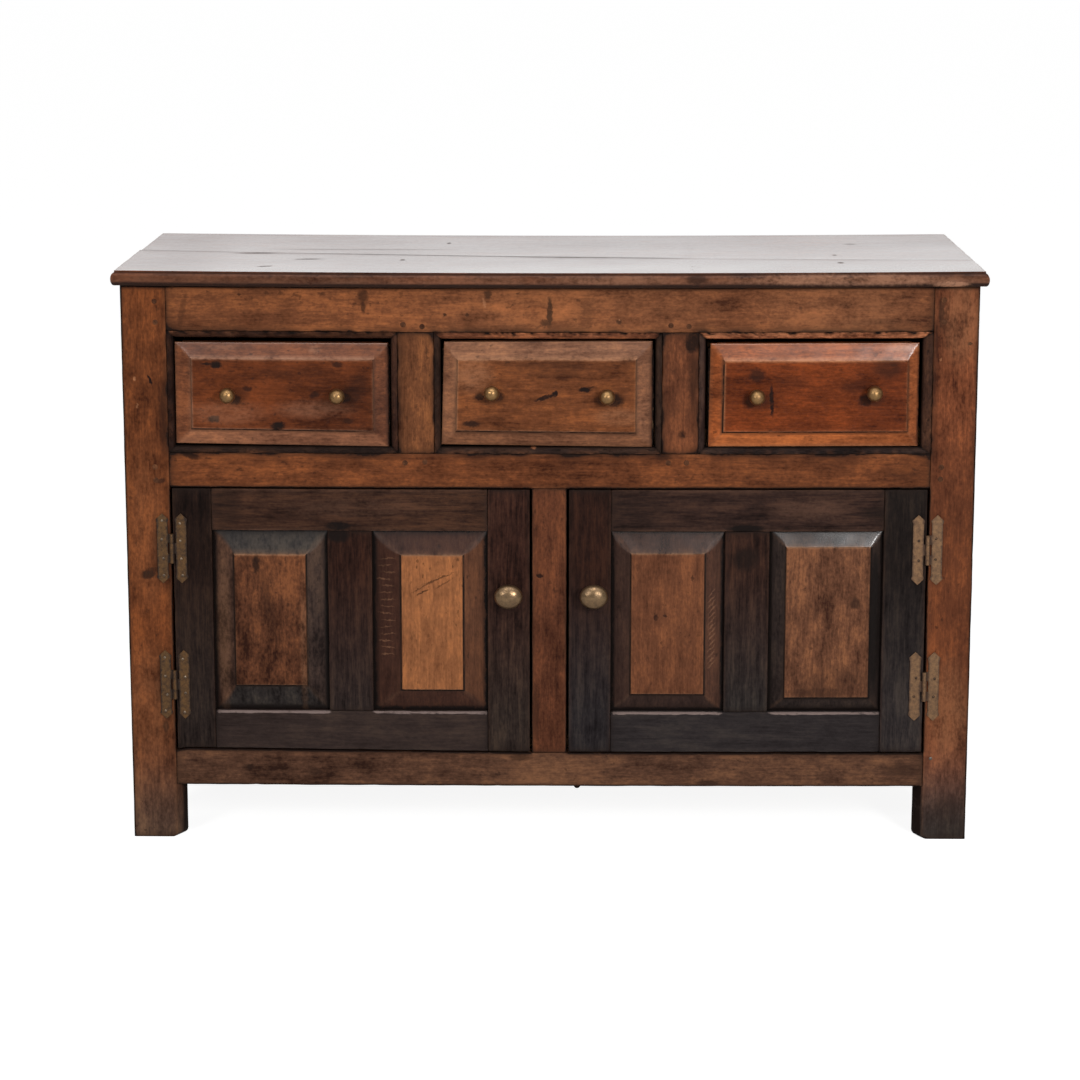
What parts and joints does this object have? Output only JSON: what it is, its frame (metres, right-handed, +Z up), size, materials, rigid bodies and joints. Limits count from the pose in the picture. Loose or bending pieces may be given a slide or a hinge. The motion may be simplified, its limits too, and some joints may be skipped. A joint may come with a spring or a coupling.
{
  "type": "kitchen dresser base",
  "caption": "Joined oak dresser base: a row of drawers over a cupboard with panelled doors on H hinges, standing on its post feet.",
  "frame": {"origin": "on the floor, under the middle of the object's box", "axes": "+X to the right along the length as seen from the front, +Y to the back, +Z up; the doors and drawers face -Y"},
  "size_m": [1.282, 0.5472, 0.865],
  "materials": {
    "top_oak": "old oak, waxed to a soft shine",
    "frame_oak": "old oak, waxed and worn",
    "dark_oak": "oak darkened almost to black",
    "panel_oak": "old oak, waxed",
    "drawer_oak": "old oak, waxed and worn",
    "inner_oak": "dry unfinished oak",
    "brass": "rubbed bright with dark hollows",
    "hinge_brass": "dull and tarnished"
  },
  "bodies": {
    "carcass": {"top_front_board": "top_oak", "top_back_board": "top_oak", "front_left_post": "frame_oak", "front_right_post": "frame_oak", "back_left_post": "frame_oak", "back_right_post": "frame_oak", "front_top_rail": "frame_oak", "front_middle_rail": "frame_oak", "front_bottom_rail": "frame_oak", "left_drawer_muntin": "frame_oak", "right_drawer_muntin": "frame_oak", "centre_muntin": "frame_oak", "left_side_top_rail": "frame_oak", "left_side_bottom_rail": "frame_oak", "left_side_panel": "frame_oak", "right_side_top_rail": "frame_oak", "right_side_bottom_rail": "frame_oak", "right_side_panel": "frame_oak", "back_boards": "inner_oak", "cupboard_floor": "inner_oak", "drawer_runner_frame": "inner_oak", "left_drawer_surround": "dark_oak", "centre_drawer_surround": "dark_oak", "right_drawer_surround": "dark_oak", "left_upper_hinge_frame_leaf": "hinge_brass", "left_lower_hinge_frame_leaf": "hinge_brass", "right_upper_hinge_frame_leaf": "hinge_brass", "right_lower_hinge_frame_leaf": "hinge_brass"},
    "left_door": {"left_door_hinge_stile": "dark_oak", "left_door_lock_stile": "dark_oak", "left_door_top_rail": "dark_oak", "left_door_bottom_rail": "dark_oak", "left_door_muntin": "dark_oak", "left_door_outer_panel": "panel_oak", "left_door_inner_panel": "panel_oak", "left_upper_hinge_door_leaf": "hinge_brass", "left_lower_hinge_door_leaf": "hinge_brass"},
    "right_door": {"right_door_hinge_stile": "dark_oak", "right_door_lock_stile": "dark_oak", "right_door_top_rail": "dark_oak", "right_door_bottom_rail": "dark_oak", "right_door_muntin": "dark_oak", "right_door_outer_panel": "panel_oak", "right_door_inner_panel": "panel_oak", "right_upper_hinge_door_leaf": "hinge_brass", "right_lower_hinge_door_leaf": "hinge_brass"},
    "left_latch": {"left_door_turn_knob": "brass"},
    "right_latch": {"right_door_turn_knob": "brass"},
    "left_drawer": {"left_drawer_front": "drawer_oak", "left_drawer_box": "inner_oak", "left_drawer_left_knob": "brass", "left_drawer_right_knob": "brass"},
    "centre_drawer": {"centre_drawer_front": "drawer_oak", "centre_drawer_box": "inner_oak", "centre_drawer_left_knob": "brass", "centre_drawer_right_knob": "brass"},
    "right_drawer": {"right_drawer_front": "drawer_oak", "right_drawer_box": "inner_oak", "right_drawer_left_knob": "brass", "right_drawer_right_knob": "brass"}
  },
  "joints": [
    {"name": "left_door_hinge", "type": "hinge", "parent": "carcass", "child": "left_door", "pos_m": [-0.5625, -0.24025, 0.338], "axis": [0, 0, -1], "range_deg": [0, 170]},
    {"name": "right_door_hinge", "type": "hinge", "parent": "carcass", "child": "right_door", "pos_m": [0.5625, -0.24025, 0.338], "axis": [0, 0, 1], "range_deg": [0, 170]},
    {"name": "left_latch_turn", "type": "hinge", "parent": "left_door", "child": "left_latch", "pos_m": [-0.0605, -0.23635, 0.382], "axis": [0, -1, 0], "range_deg": [0, 90]},
    {"name": "right_latch_turn", "type": "hinge", "parent": "right_door", "child": "right_latch", "pos_m": [0.0665, -0.23635, 0.382], "axis": [0, 1, 0], "range_deg": [0, 90]},
    {"name": "left_drawer_slide", "type": "slide", "parent": "carcass", "child": "left_drawer", "axis": [0, -1, 0], "range_m": [0, 0.33]},
    {"name": "centre_drawer_slide", "type": "slide", "parent": "carcass", "child": "centre_drawer", "axis": [0, -1, 0], "range_m": [0, 0.33]},
    {"name": "right_drawer_slide", "type": "slide", "parent": "carcass", "child": "right_drawer", "axis": [0, -1, 0], "range_m": [0, 0.33]}
  ]
}
